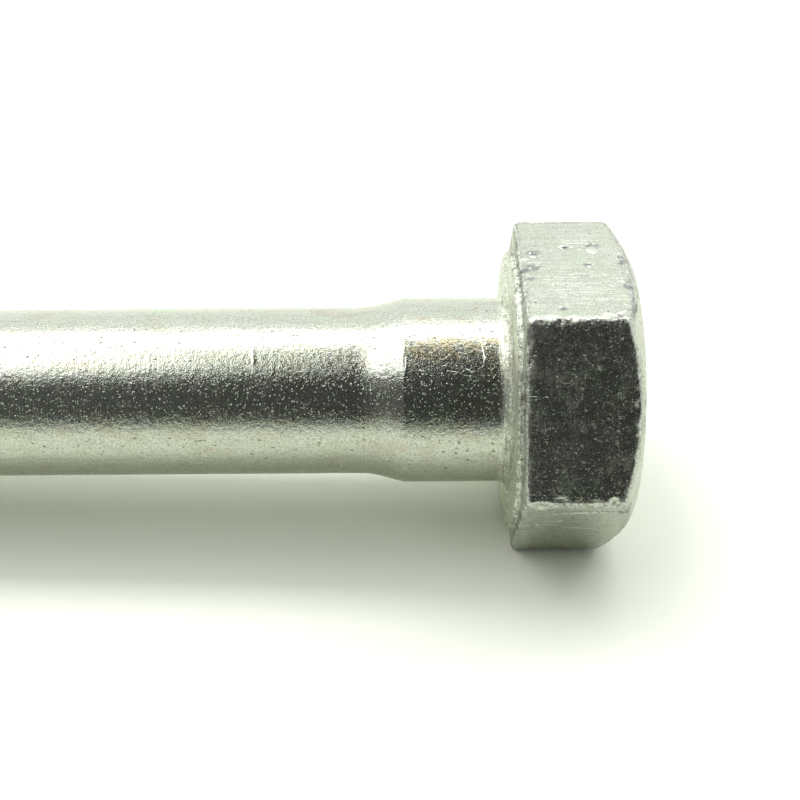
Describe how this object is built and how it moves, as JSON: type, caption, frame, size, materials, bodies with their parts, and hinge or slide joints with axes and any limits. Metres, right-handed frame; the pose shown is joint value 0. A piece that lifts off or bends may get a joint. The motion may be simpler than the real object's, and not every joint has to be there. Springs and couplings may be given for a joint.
{
  "type": "hex bolt",
  "caption": "Long zinc-plated hex head bolt with washer face, short full-diameter collar, reduced shank and a rolled metric thread, for clamping parts together.",
  "frame": {"origin": "centre of the head's flat top face, on the bolt's axis", "axes": "+X along the axis out of the head, so the shank and point lie towards -X; +Z square to an upper hexagon flat, with the opposite flat facing down"},
  "size_m": [0.1275, 0.0218, 0.019],
  "materials": {
    "zinc_plated_steel": "bright zinc plating on forged steel, slightly speckled, with handling marks"
  },
  "bodies": {
    "root": {"hex_bolt": "zinc_plated_steel"}
  },
  "joints": []
}
